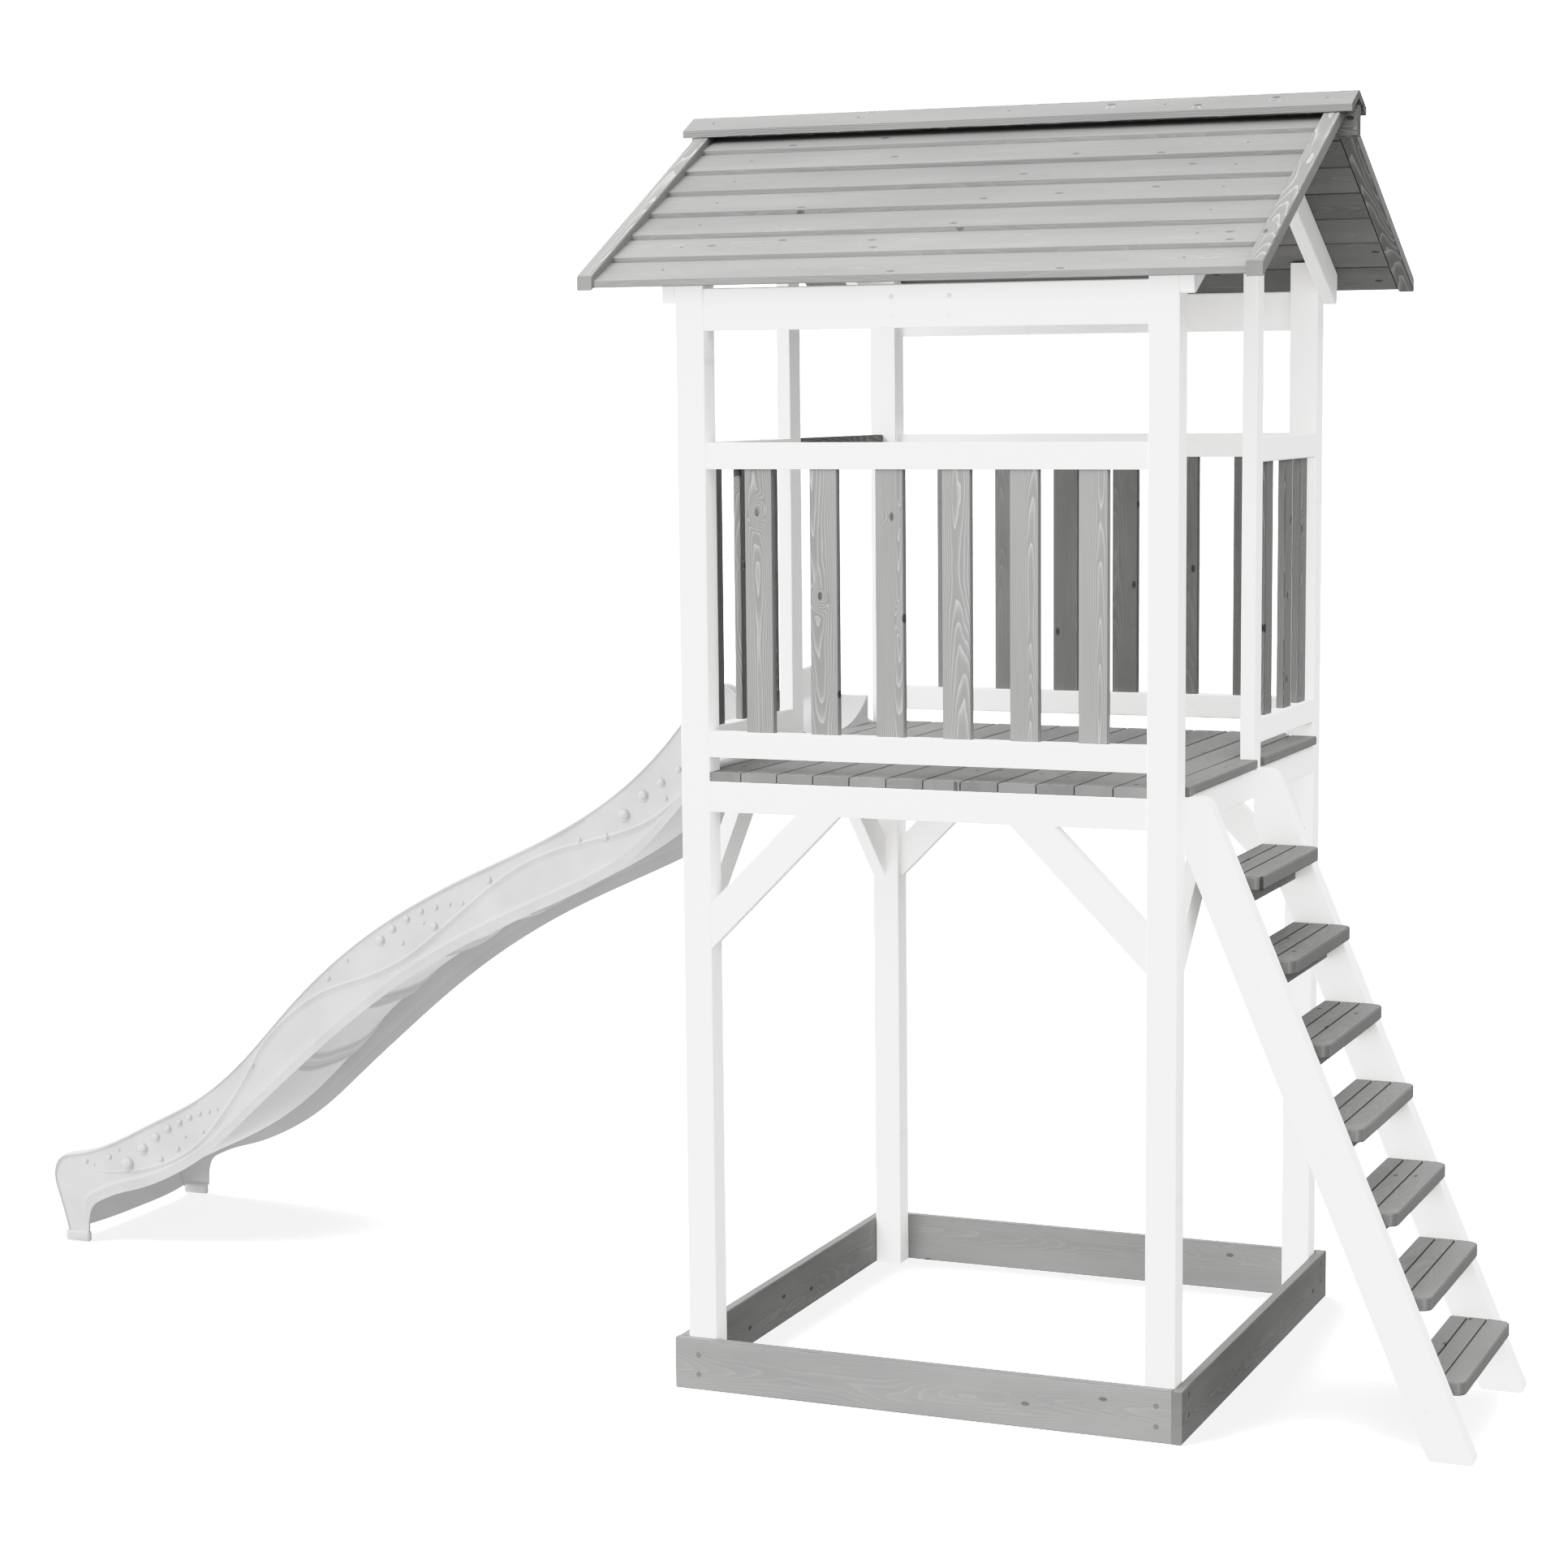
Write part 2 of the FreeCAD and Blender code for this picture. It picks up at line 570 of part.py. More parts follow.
def tread(number, nose, top, inner):
    """A tread with two grooves along its top and a rounded front."""
    body = doc.addObject("PartDesign::Body", f"tread_{number}")
    slab = body.newObject("PartDesign::AdditiveBox", "Slab")
    for prop, span in zip(("Length", "Width", "Height"), ("tread_deep", "tread_long", "tread_thick")):
        bind(slab, prop, span)
    place(body, (f"{nose} - tread_deep", inner, f"{top} - tread_thick"))
    doc.recompute()
    front = [f"Edge{i}" for i, edge in enumerate(slab.Shape.Edges, start=1)
             if abs(edge.Length - size("tread_thick")) < 0.01
             and edge.CenterOfMass.x > size("tread_deep") / 2]
    corners = ease(body, slab, front, "tread_corner")
    doc.recompute()
    ease(body, corners, long_edges(corners.Shape, 0.9 * size("tread_long")), "tread_edge")
    slots = [block(f"tread_{number}_groove_{k}", ("groove", "tread_long + 2 * groove", "2 * groove"),
                   (f"{nose} - groove_back - {k} * groove_pitch - groove / 2", f"{inner} - groove",
                    f"{top} - groove")) for k in range(2)]
    return cut(f"tread_{number}_grooved", body, slots)


# The slide's profile from the tower's middle: x, then the heights of the rim, of the sliding
# surface and of the skirt's lower edge.  It leaves the deck level under two raised humps, dips,
# swells half way down and flattens at the exit.
PROFILE = ((-486, 1183, 1178, 1126), (-540, 1216, 1178, 1132), (-620, 1297, 1172, 1124),
           (-668, 1268, 1142, 1092), (-712, 1216, 1102, 1049), (-814, 1107, 990, 942),
           (-976, 993, 875, 845), (-1236, 867, 749, 722), (-1469, 732, 614, 574),
           (-1651, 577, 460, 424), (-1775, 448, 332, 314), (-1901, 348, 232, 210),
           (-2024, 284, 170, 146), (-2158, 224, 112, 99), (-2245, 200, 90, 75))
RIM, BED, SKIRT = 1, 2, 3

# A skirt's end below the rim's last point: down the rounded nose, round the foot pad and back
# up to the skirt's lower edge.
LEG = ((-2245, 200), (-2267, 189), (-2280, 158), (-2273, 114), (-2259, 66), (-2248, 25), (-2254, 22),
       (-2254, 0), (-2192, 0), (-2192, 24), (-2188, 58), (-2177, 84), (-2158, 99), (-2158, 200))

APRON_Z = 24


def run_edge(height, drop=0):
    """One of the profile's curves, lowered by a drop."""
    x = size("tower_x")
    curve = Part.BSplineCurve()
    curve.interpolate([Vector(x + point[0], 0, point[height] - drop) for point in PROFILE])
    return curve.toShape()


def between(upper, lower, thick, y):
    """A wall along the slide between two of its curves."""
    ends = [Part.LineSegment(upper.Vertexes[k].Point, lower.Vertexes[k].Point).toShape() for k in (0, -1)]
    wire = Part.Wire([upper, ends[1], lower, ends[0]])
    wall = Part.Face(wire).extrude(Vector(0, thick, 0))
    wall.translate(Vector(0, y, 0))
    return wall


def side_leg(y):
    """The rounded end of a skirt, which runs down to a foot on the ground."""
    points = [Vector(size("tower_x") + x, y, z) for x, z in LEG]
    return Part.Face(Part.makePolygon(points + points[:1])).extrude(Vector(0, size("shell"), 0))


def build_slide():
    """One moulded shell: bed, inner walls, rims, outer skirts, end legs and the exit apron."""
    shell = size("shell")
    near = size("slide_y")
    far = near + size("slide_wide")
    rim = size("rim_wide")
    top = run_edge(RIM)
    bed_under = run_edge(BED, shell)
    walls = []
    for outer, inner in ((near, near + rim - shell), (far - shell, far - rim)):
        walls.append(between(top, run_edge(SKIRT), shell, outer))
        walls.append(between(top, bed_under, shell, inner))
        walls.append(side_leg(outer))
    for start in (near, far - rim):
        walls.append(between(top, run_edge(RIM, shell), rim, start))
    walls.append(between(run_edge(BED), bed_under, far - near - 2 * (rim - shell), near + rim - shell))
    end_x, bed_z = PROFILE[-1][0], PROFILE[-1][BED]
    walls.append(Part.makeBox(shell, far - near, bed_z - APRON_Z,
                              Vector(size("tower_x") + end_x, near, APRON_Z)))
    slide = doc.addObject("Part::Feature", "slide")
    slide.Shape = walls[0].multiFuse(walls[1:]).removeSplitter()
    node("slide", slide)


def build_caps():
    """Dome caps over the bolts that hold the side braces."""
    caps = []
    for side, sx in SIDES.items():
        for end, sy in ENDS.items():
            dome = doc.addObject("Part::Sphere", f"cap_{side}_{end}")
            bind(dome, "Radius", "cap_round")
            dome.Angle1 = 0
            dome.Placement.Rotation = Rotation(Vector(0, 1, 0), 90 * sx)
            place(dome, (f"{sx} * tower_width / 2", f"{sy} * (tower_depth / 2 - post_thick - cap_in)",
                         "deck_top - deck_thick - beam_tall - cap_drop"))
            caps.append(dome)
    group("brace_bolt_caps", caps)


def check():
    """Stop if any object failed or any piece is empty or invalid."""
    for obj in doc.Objects:
        bad = [word for word in obj.State if word in ("Invalid", "Error")]
        if bad:
            raise RuntimeError(f"{obj.Name} ({obj.Label}) is {bad}")
    for label, obj in NODES.items():
        if obj.Shape.isNull() or not obj.Shape.isValid() or not obj.Shape.Solids:
            raise RuntimeError(f"{label} has no valid solid")


def main():
    post_holes = build_sandpit()
    build_posts(post_holes)
    screws = build_frame()
    build_slats()
    build_deck()
    build_braces()
    build_roof()
    build_ladder(screws)
    build_slide()
    build_caps()
    doc.recompute()
    check()
    os.makedirs("parts", exist_ok=True)
    for label, obj in NODES.items():
        obj.Shape.exportStep(f"parts/{label}.step")
        box = obj.Shape.BoundBox
        print(f"{label:28s} {len(obj.Shape.Solids):3d} solids"
              f"  x {box.XMin:8.1f} {box.XMax:8.1f}  y {box.YMin:7.1f} {box.YMax:7.1f}"
              f"  z {box.ZMin:7.1f} {box.ZMax:7.1f}")
    print(len(NODES), "nodes")


main()
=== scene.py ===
import math
from dataclasses import dataclass

import bmesh
import bpy
import numpy as np
from mathutils import Matrix, Vector


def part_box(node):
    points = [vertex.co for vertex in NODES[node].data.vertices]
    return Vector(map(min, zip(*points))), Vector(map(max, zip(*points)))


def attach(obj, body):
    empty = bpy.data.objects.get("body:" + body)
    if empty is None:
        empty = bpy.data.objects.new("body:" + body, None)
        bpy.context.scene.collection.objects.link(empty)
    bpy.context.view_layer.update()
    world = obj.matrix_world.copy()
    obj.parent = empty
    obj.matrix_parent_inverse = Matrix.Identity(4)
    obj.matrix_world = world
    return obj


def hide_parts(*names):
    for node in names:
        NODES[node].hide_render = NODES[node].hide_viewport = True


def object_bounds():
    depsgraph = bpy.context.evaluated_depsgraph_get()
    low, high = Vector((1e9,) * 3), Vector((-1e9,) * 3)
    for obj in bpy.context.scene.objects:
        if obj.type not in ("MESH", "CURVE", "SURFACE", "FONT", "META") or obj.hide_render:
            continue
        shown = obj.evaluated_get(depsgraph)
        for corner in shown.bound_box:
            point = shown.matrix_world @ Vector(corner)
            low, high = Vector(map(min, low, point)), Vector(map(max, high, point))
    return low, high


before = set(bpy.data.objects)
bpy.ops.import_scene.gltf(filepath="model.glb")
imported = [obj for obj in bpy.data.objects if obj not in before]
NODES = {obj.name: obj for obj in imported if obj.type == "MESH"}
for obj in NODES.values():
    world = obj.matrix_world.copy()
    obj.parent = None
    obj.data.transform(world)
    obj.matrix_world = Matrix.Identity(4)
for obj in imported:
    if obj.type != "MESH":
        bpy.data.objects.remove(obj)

# A timber play tower in a white studio.  Every length is in metres in the row frame: +X from the
# slide towards the ladder, +Y from the front railing to the back, +Z up.

CAD_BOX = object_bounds()
X, Y, Z = Vector((1, 0, 0)), Vector((0, 1, 0)), Vector((0, 0, 1))
TOWER_X = (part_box("post_front_left")[0].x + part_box("post_back_right")[1].x) / 2

# the ladder's run for each metre of its height, and the roof's rise for each metre of its run
LEAN = 0.4235
ROOF_RISE = 0.535

# rows of like boards: their sizes, how far apart they are, and how far short of a row's first
# board its cells start (the margins)
SLAT_WIDE = 0.055
SLAT_PITCH = 0.1285
SLAT_MARGIN = 0.037
SIDE_SLAT_PITCH = 0.13
SIDE_SLAT_MARGIN = 0.03
DECK_PITCH = 0.072
DECK_BOARDS = 14
COURSES = 7
ROOF_DEEP = 0.022
STEPS = 7
TREAD_THICK = 0.026
TREAD_DEEP = 0.116
TREAD_MARGIN = 0.05
BATTEN_MARGIN = 0.04


# ---------------------------------------------------------------- shader building

class Shader:
    """A material's node tree, built one call a node; inputs are sockets or plain values."""

    def __init__(self, name):
        self.material = bpy.data.materials.new(name)
        self.material.use_nodes = True
        self.tree = self.material.node_tree
        self.surface = self.tree.nodes["Principled BSDF"]
        self.place = self.add("ShaderNodeTexCoord", {}, "Object")

    def add(self, kind, inputs, output=0, **settings):
        """A new node with its inputs fed; returns one of its outputs."""
        made = self.tree.nodes.new(kind)
        for key, value in settings.items():
            setattr(made, key, value)
        for key, value in inputs.items():
            self.feed(made.inputs[key], value)
        return made.outputs[output]

    def feed(self, socket, value):
        if isinstance(value, bpy.types.NodeSocket):
            self.tree.links.new(value, socket)
        else:
            socket.default_value = value

    def math(self, operation, *values):
        return self.add("ShaderNodeMath", dict(enumerate(values)), operation=operation)

    def plus(self, first, second):
        return self.math("ADD", first, second)

    def minus(self, first, second):
        return self.math("SUBTRACT", first, second)

    def times(self, first, second):
        return self.math("MULTIPLY", first, second)

    def swing(self, value, amount):
        """How far a value is from one half, times an amount."""
        return self.times(self.minus(value, 0.5), amount)

    def vector(self, operation, *values, output=0):
        return self.add("ShaderNodeVectorMath", dict(enumerate(values)), output, operation=operation)

    def dot(self, point, direction):
        return self.vector("DOT_PRODUCT", point, tuple(direction), output="Value")

    def join(self, x, y, z):
        return self.add("ShaderNodeCombineXYZ", {"X": x, "Y": y, "Z": z})

    def split(self, vector):
        """The three parts of a vector or a colour."""
        return self.add("ShaderNodeSeparateXYZ", {"Vector": vector}).node.outputs[:]

    def noise(self, where, scale, detail=3.0, rough=0.5):
        return self.add("ShaderNodeTexNoise", {"Vector": where, "Scale": scale, "Detail": detail,
                                               "Roughness": rough}, "Fac")

    def step(self, value, low, high):
        """0 at low and past it, 1 at high and past it, smooth between; low may be the larger."""
        return self.add("ShaderNodeMapRange", {"Value": value, "From Min": low, "From Max": high},
                        interpolation_type="SMOOTHSTEP")

    def blend(self, amount, first, second):
        """first where amount is 0, second where it is 1."""
        return self.add("ShaderNodeMix", {"Factor": amount, "A": first, "B": second})

    def tint(self, value, colour):
        """A grey value times a colour."""
        return self.vector("MULTIPLY", self.join(value, value, value), colour)

    def glow(self, strength):
        """A faint white emission."""
        self.surface.inputs["Emission Color"].default_value = (1, 1, 1, 1)
        self.surface.inputs["Emission Strength"].default_value = strength

    def bump(self, height, depth, strength=1.0):
        normal = self.add("ShaderNodeBump", {"Height": height, "Distance": depth,
                                             "Strength": strength})
        self.feed(self.surface.inputs["Normal"], normal)

    def finish(self, colour, roughness, specular=0.4):
        self.feed(self.surface.inputs["Base Color"], colour)
        self.feed(self.surface.inputs["Roughness"], roughness)
        self.surface.inputs["Specular IOR Level"].default_value = specular
        return self.material


# ---------------------------------------------------------------- timber

WARM = (1.006, 1.0, 0.988)
# the most that a board's pattern is moved along it
SHIFT = 37.0
# cells a metre along and across the grain, and the strength of what shifts the rings
WANDER_CELLS, WANDER = (1.7, 9.0), 0.045
RIPPLE_CELLS, RIPPLE = (9.0, 40.0), 0.005
FIBRE_CELLS = (6.0, 420.0)
PATCH_CELLS = (2.5, 14.0)
KNOT_CELLS = (6.0, 12.0)
# lots above which a cell holds a knot, the knot's reach and core as shares of a cell, and how far
# it pushes the rings
KNOT_LOTS = (0.66, 0.7)
KNOT_REACH = 0.26
KNOT_CORE = (0.06, 0.035)
KNOT_PUSH = 0.016
# a growth ring's width, the phases between which its pale line ends, how sharply that line rises
# before them and about how strong it is on average
RING = 0.0026
RING_END = (1.0, 0.94)
RING_CURVE = 4.0
LATE_SHARE = 0.15
# how far behind the face the pith lies, and how it wanders in depth and sideways along the board
PITH_DEEP = 0.028
PITH_WEAVE, WEAVE = 2.4, 0.014
PITH_SWING, SWING = 1.3, 0.05


@dataclass
class Stain:
    """How one finish shows on the wood: its tone, how strongly each feature changes that, the
    roughness, the depth of the grain and a faint glow, which is painted fill light lifting the shade."""

    tone: float
    lines: float
    fibres: float
    patches: float
    knots: float
    # edges: painted shade on rounded edges, together with the stain's darkening of end grain
    edges: float
    rough: float
    relief: float
    glow: float = 0.0


GREY = Stain(tone=0.212, lines=0.8, fibres=0.2, patches=0.16, knots=0.6, edges=-0.28, rough=0.6,
             relief=0.0004)
WORN = Stain(tone=0.218, lines=0.2, fibres=0.14, patches=0.22, knots=0.5, edges=-0.28, rough=0.6,
             relief=0.0002)
# the white timber's glow is painted fill light: a faint emission that lifts its shaded faces
WHITE = Stain(tone=0.88, lines=0.012, fibres=0.012, patches=0.015, knots=0.04, edges=0.0, rough=0.5,
              relief=0.0002, glow=0.05)


def board_places(s, ways, centre, seed, cells):
    """Where a point lies along, across and into its own board, the board's number and three dice.

    cells = (axis, start, pitch, drift) tells the boards of one node apart by their place along
    axis; drift is how far the boards' centres move along across from one to the next.
    """
    grain, across, out = ways
    wide = s.minus(s.dot(s.place, across), centre.dot(across))
    deep = s.minus(s.dot(s.place, out), centre.dot(out))
    number = float(seed)
    if cells:
        axis, start, pitch, drift = cells
        cell = s.math("FLOOR", s.math("DIVIDE", s.minus(s.dot(s.place, axis), start), pitch))
        number = s.plus(cell, number)
        wide = s.minus(wide, s.times(cell, drift))
    dice = s.split(s.add("ShaderNodeTexWhiteNoise", {"W": number}, "Color", noise_dimensions="1D"))
    run = s.plus(s.dot(s.place, grain), s.times(dice[0], SHIFT))
    return run, wide, deep, number, dice


def grain_noise(s, cells, run, wide, third, detail=2.0, rough=0.5):
    """Noise with so many cells a metre along and across the grain."""
    place = s.join(s.times(run, cells[0]), s.times(wide, cells[1]), third)
    return s.noise(place, 1.0, detail, rough)


def knot_marks(s, run, wide):
    """Oval knots scattered along a board: how near the next one is, and its dark core."""
    place = s.join(s.times(run, KNOT_CELLS[0]), s.times(wide, KNOT_CELLS[1]), 0.0)
    away = s.add("ShaderNodeTexVoronoi", {"Vector": place, "Scale": 1.0}, "Distance",
                 voronoi_dimensions="2D")
    chosen = s.step(s.split(away.node.outputs["Color"])[0], *KNOT_LOTS)
    near = s.times(chosen, s.step(away, KNOT_REACH, 0.0))
    core = s.times(chosen, s.step(away, *KNOT_CORE))
    return near, core


def late_wood(s, places, near):
    """The pale line of each growth ring, which the face cuts into long arches.

    The rings go round a pith behind the face, which wanders along the board, and shift at knots.
    """
    run, wide, deep, number, dice = places
    side = s.plus(wide, s.swing(dice[2], SWING))
    swinging = s.math("SINE", s.times(run, PITH_SWING))
    side = s.plus(side, s.times(swinging, s.swing(dice[1], SWING)))
    weave = s.times(s.math("SINE", s.times(run, PITH_WEAVE)), WEAVE)
    pith = s.plus(deep, s.plus(PITH_DEEP, weave))
    radius = s.math("SQRT", s.plus(s.times(side, side), s.times(pith, pith)))
    radius = s.plus(radius, s.swing(grain_noise(s, WANDER_CELLS, run, wide, number), WANDER))
    radius = s.plus(radius, s.times(near, KNOT_PUSH))
    radius = s.plus(radius, s.times(grain_noise(s, RIPPLE_CELLS, run, wide, number), RIPPLE))
    phase = s.math("FRACT", s.math("DIVIDE", radius, RING))
    return s.times(s.math("POWER", phase, RING_CURVE), s.step(phase, *RING_END))


def edges_and_ends(s, ways):
    """Whether a face has turned on to a rounded edge, and whether it is end grain."""
    facing = s.add("ShaderNodeNewGeometry", {}, "Normal")
    flats = [s.math("ABSOLUTE", s.dot(facing, way)) for way in ways]
    flat = s.math("MAXIMUM", s.math("MAXIMUM", flats[0], flats[1]), flats[2])
    return s.step(flat, 0.97, 0.8), s.step(flats[0], 0.9, 0.98)


def timber(name, stain, grain, across, centre, seed, cells=None, shade=1.0):
    """Softwood under a stain, with growth rings, fibres, knots and patches.

    grain runs along the board and across over its wide face; centre is a point inside it.  Rounded
    edges are darkened as painted shade, and the stain gathers in end grain.
    """
    s = Shader(name)
    grain = Vector(grain).normalized()
    across = Vector(across).normalized()
    ways = grain, across, grain.cross(across)
    places = board_places(s, ways, centre, seed, cells)
    run, wide, deep, number, dice = places
    near, core = knot_marks(s, run, wide)
    late = late_wood(s, places, near)
    fibre = grain_noise(s, FIBRE_CELLS, run, wide, s.times(deep, FIBRE_CELLS[1]), rough=0.6)
    patch = grain_noise(s, PATCH_CELLS, run, wide, number, detail=3.0)

    level = s.plus(1.0, s.times(s.minus(late, LATE_SHARE), stain.lines))
    for value, amount in ((fibre, stain.fibres), (patch, 2 * stain.patches), (dice[0], stain.patches)):
        level = s.plus(level, s.swing(value, amount))
    # painted shade darkens the rounded edges; the stain darkens the end grain
    for edge_shade_and_end_stain in edges_and_ends(s, ways):
        level = s.plus(level, s.times(edge_shade_and_end_stain, stain.edges))
    level = s.times(level, s.blend(core, 1.0, 1.0 - stain.knots))

    s.bump(s.plus(s.times(late, 0.6), s.times(fibre, 0.4)), stain.relief, 0.6)
    # painted fill light: the stain's glow is a faint white emission
    s.glow(stain.glow)
    rough = s.plus(stain.rough - 0.05, s.times(patch, 0.1))
    return s.finish(s.tint(s.times(level, stain.tone * shade), WARM), rough, 0.3)


def finish_node(node, material):
    """Give a CAD node its material."""
    for slot in NODES[node].material_slots:
        slot.link = "OBJECT"
        slot.material = material


def middle(node):
    low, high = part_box(node)
    return (low + high) / 2


SEEDS = iter(range(10, 4000, 37))
ENDS = (("front", -1), ("back", 1))
SIDES = (("left", -1), ("right", 1))


def finish_board(node, stain, grain, across, shade=1.0, cells=None, centre=None):
    """A timber material of its own for one wooden node; the seeds are taken in turn."""
    centre = centre or middle(node)
    finish_node(node, timber(node, stain, grain, across, centre, next(SEEDS), cells, shade))


def finish_front_and_back(end):
    """The timber across one end of the tower."""
    for side, _ in SIDES:
        finish_board(f"post_{end}_{side}", WHITE, Z, X)
    for name in ("deck_beam", "lower_rail", "handrail", "top_beam"):
        finish_board(f"{name}_{end}", WHITE, X, Z)
    finish_board(f"sandpit_board_{end}", WORN, X, Z)
    slats = f"slats_{end}"
    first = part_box(slats)[0].x
    finish_board(slats, WORN if end == "back" else GREY, Z, X,
                 cells=(X, first - SLAT_MARGIN, SLAT_PITCH, SLAT_PITCH),
                 centre=Vector((first + SLAT_WIDE / 2, middle(slats).y, 0)))


def finish_side(side, out):
    """The timber along one side of the tower, with its braces, rafters and verge battens."""
    finish_board(f"door_post_{side}", WHITE, Z, Y)
    for name in ("deck_beam", "lower_rail", "handrail"):
        finish_board(f"{name}_{side}", WHITE, Y, Z)
    finish_board(f"sandpit_board_{side}", WORN, Y, Z)
    slats = f"slats_{side}"
    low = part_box(slats)[0]
    finish_board(slats, GREY, Z, Y,
                 cells=(Y, low.y - SIDE_SLAT_MARGIN, SIDE_SLAT_PITCH, SIDE_SLAT_PITCH),
                 centre=Vector((low.x, low.y + SLAT_WIDE / 2, 0)))
    for end, way in ENDS:
        slope = Vector((0, way, -ROOF_RISE))
        finish_board(f"knee_brace_{end}_{side}", WHITE, Vector((out, 0, -1)), Vector((1, 0, out)))
        finish_board(f"knee_brace_{side}_{end}", WHITE, Vector((0, way, -1)), Vector((0, 1, way)))
        finish_board(f"rafter_{side}_{end}", WHITE, slope, Vector((0, way * ROOF_RISE, 1)))
        finish_board(f"verge_batten_{side}_{end}", GREY, slope, X)


def finish_deck():
    """The joist, the board across the slide's doorway, the deck and the ridge board."""
    finish_board("deck_joist", WHITE, X, Z)
    finish_board("slide_door_bar", GREY, Y, Z)
    finish_board("deck_boards", WORN, Y, X, cells=(X, TOWER_X, DECK_PITCH, DECK_PITCH),
                 centre=Vector((TOWER_X + DECK_PITCH / 2, 0, middle("deck_boards").z)))
    finish_board("ridge_board", GREY, X, Z)


def roof_course(end):
    """How far a course of roof boards reaches, measured level."""
    low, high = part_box(f"roof_boards_{end}")
    return max(abs(low.y), abs(high.y)) / COURSES


def finish_slope(end, way):
    """One slope of the roof and its cap board, and the ladder's stringer at the same end."""
    slope = Vector((0, way, -ROOF_RISE))
    course = roof_course(end)
    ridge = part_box(f"roof_boards_{end}")[1].z
    finish_board(f"roof_boards_{end}", WORN, X, slope,
                 cells=(Y * way, 0.0, course, course * math.hypot(1, ROOF_RISE)),
                 centre=Vector((0, way * course / 2, ridge - ROOF_DEEP)))
    finish_board(f"ridge_cap_{end}", GREY, X, slope)
    finish_board(f"ladder_stringer_{end}", WHITE, Vector((-LEAN, 0, 1)), Vector((1, 0, LEAN)))


def finish_ladder():
    """The treads and the battens under them."""
    low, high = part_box("ladder_treads")
    rise = (high.z - low.z - TREAD_THICK) / (STEPS - 1)
    finish_board("ladder_treads", WORN, Y, X, shade=0.92,
                 cells=(Z, low.z - TREAD_MARGIN, rise, -rise * LEAN),
                 centre=Vector((high.x - TREAD_DEEP / 2, 0, low.z)))
    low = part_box("ladder_battens")[0]
    finish_board("ladder_battens", WORN, Y, Z, cells=(Z, low.z - BATTEN_MARGIN, rise, rise), centre=low)


def finish_timber():
    """A timber material for every wooden node, with the grain along each board."""
    for end, _ in ENDS:
        finish_front_and_back(end)
    for side, out in SIDES:
        finish_side(side, out)
    finish_deck()
    for end, way in ENDS:
        finish_slope(end, way)
    finish_ladder()


# ---------------------------------------------------------------- slide

# The slide seen from the side, in millimetres from the tower's middle and the ground.  Each station
# has the rim, the sliding surface and the lower edge of the skirt.
STRAIGHT = ((-486, 1183, 1178, 1126), (-540, 1216, 1178, 1132), (-620, 1297, 1172, 1124),
            (-668, 1268, 1142, 1092), (-712, 1216, 1102, 1049), (-814, 1107, 990, 942),
            (-976, 993, 875, 845), (-1236, 867, 749, 722), (-1469, 732, 614, 574),
            (-1651, 577, 460, 424), (-1775, 448, 332, 314), (-1901, 348, 232, 210),
            (-2024, 284, 170, 146))
# Round the nose and down the legs the three lines part: (x, z) of the rim, of the surface, which
# turns down into the apron, and of the lower edge, which runs down the back of the leg.
NOSE = (((-2150, 224), (-2125, 124), (-2104, 121)), ((-2226, 203), (-2185, 107), (-2150, 103)),
        ((-2262, 192), (-2228, 99), (-2172, 91)), ((-2280, 158), (-2256, 90), (-2183, 76)),
        ((-2273, 114), (-2262, 74), (-2188, 58)), ((-2259, 66), (-2250, 50), (-2190, 42)),
        ((-2248, 22), (-2226, 24), (-2191, 22)))
STEP = 4.5
WALL = 5
RIM_WIDE = 34
RIM_DROP = 8
ROLL = 0.6
# how far the skirt's face stands back from the band along its lower edge, and the band's height,
# which fades out over a leg's lower part
RELIEF = 4
BAND = 24
BAND_GONE, BAND_FADE = 45, 40
# the bed's rise towards its walls, which fades out where the bed turns down into the apron
BED_RISE = 60
BED_GONE, BED_FADE = -2256, 90
# groups of three ribs under the bed
RIB_PLACES = (-1180, -1350, -1530, -1690)
RIB_PITCH = 13
RIB_DEEP = 9
RIB_HALF = 5
RIB_FLAT = 1.3
# the pad at the end of a leg
PAD_LOW = (-2254, 0, 0)
PAD_HIGH = (-2191, 14, 26)
PAD_ROUND = 0.006
# the raised wave on each skirt, from the exit up to the tower
WAVE = ((-2216, 167), (-2107, 169), (-1995, 195), (-1913, 238), (-1831, 325), (-1777, 400),
        (-1726, 483), (-1652, 556), (-1579, 605), (-1472, 645), (-1354, 703), (-1296, 747),
        (-1209, 818), (-1123, 883), (-1038, 929), (-881, 977), (-784, 1016), (-713, 1071))
# the ridge along the wave: offset to its upper side and height; it grows over its first stations
RIDGE = ((-13.2, -1.5), (-13, 0.05), (-7, 0.7), (-3, 1.7), (-1, 2.3), (1, 2.2), (2.8, 0.9), (4, 0.05),
         (4.2, -1.5))
RIDGE_STEP = 9
RIDGE_GROWS = 22
RIDGE_LEAST = 0.06
